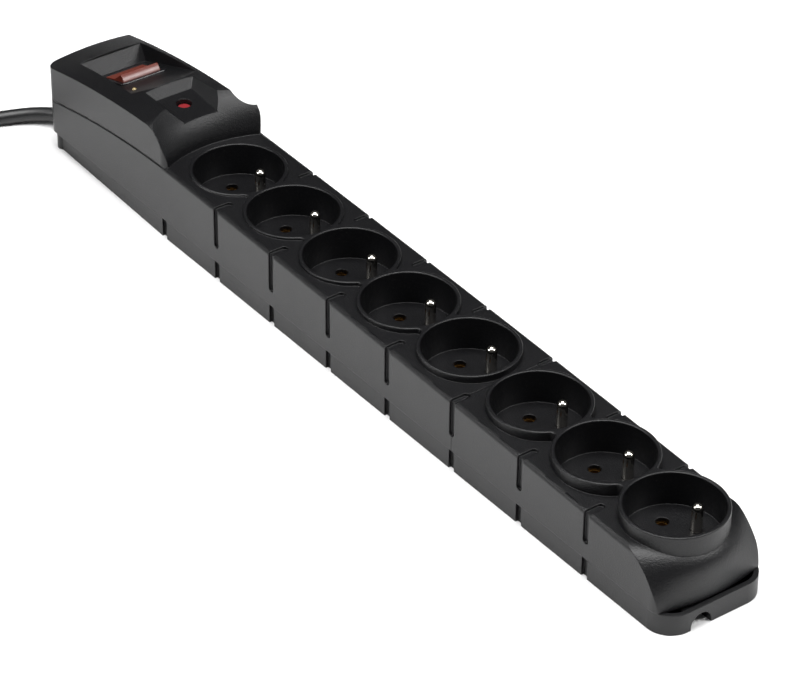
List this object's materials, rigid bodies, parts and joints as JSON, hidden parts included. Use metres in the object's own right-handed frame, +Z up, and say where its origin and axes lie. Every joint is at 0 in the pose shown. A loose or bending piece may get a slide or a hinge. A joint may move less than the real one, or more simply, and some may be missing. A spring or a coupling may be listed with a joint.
{
  "type": "power strip",
  "caption": "Long black power strip with round earthed outlets in a row, a stepped head carrying a rocker switch and a reset button, and a cord with a round plug.",
  "frame": {"origin": "on the floor under the middle of the case, cord and plug left out", "axes": "+X from the cord end to the far end, +Y to the left seen from the cord end, +Z up"},
  "size_m": [0.6912, 0.0926, 0.0549],
  "materials": {
    "case_black": "satin, fine grained",
    "nickel": "polished nickel",
    "brass_strip": "satin",
    "zinc_steel": "satin",
    "rocker_red": "translucent, gloss",
    "button_red": "gloss",
    "switch_black": "gloss",
    "breaker_black": "satin",
    "board_green": "satin",
    "varistor_blue": "satin",
    "capacitor_yellow": "satin",
    "fuse_white": "satin",
    "lamp_lens": "gloss",
    "cord_jacket": "satin",
    "clamp_nylon": "satin",
    "core_brown": "satin",
    "core_blue": "satin",
    "core_green": "satin"
  },
  "bodies": {
    "case": {"base": "case_black", "breaker_body": "breaker_black", "breaker_link": "core_brown", "breaker_terminals": "brass_strip", "case_screws": "zinc_steel", "circuit_board": "board_green", "clamp_screws": "zinc_steel", "cord_clamp": "clamp_nylon", "cord_coil": "cord_jacket", "cord_inner_end": "cord_jacket", "cord_tail": "cord_jacket", "earth_bar": "brass_strip", "earth_core": "core_green", "earth_pin_1": "nickel", "earth_pin_2": "nickel", "earth_pin_3": "nickel", "earth_pin_4": "nickel", "earth_pin_5": "nickel", "earth_pin_6": "nickel", "earth_pin_7": "nickel", "earth_pin_8": "nickel", "end_cover": "case_black", "filter_capacitor": "capacitor_yellow", "indicator_lamp": "lamp_lens", "live_bar": "brass_strip", "live_core": "core_brown", "main_cover": "case_black", "neutral_bar": "brass_strip", "neutral_core": "core_blue", "plug_body": "case_black", "plug_earth_clips": "brass_strip", "plug_pins": "nickel", "power_cord": "cord_jacket", "switch_housing": "switch_black", "switch_terminals": "brass_strip", "switched_live": "core_brown", "thermal_fuse": "fuse_white", "varistor_1": "varistor_blue", "varistor_2": "varistor_blue", "varistor_3": "varistor_blue"},
    "rocker": {"rocker": "rocker_red"},
    "reset_button": {"reset_button": "button_red"}
  },
  "joints": [
    {"name": "rocker_tilt", "type": "hinge", "parent": "case", "child": "rocker", "pos_m": [-0.18918, 0, 0.0434], "axis": [0, 1, 0], "range_deg": [0, 22]},
    {"name": "reset_travel", "type": "slide", "parent": "case", "child": "reset_button", "axis": [0, 0, 1], "range_m": [0, 0.0035]}
  ]
}
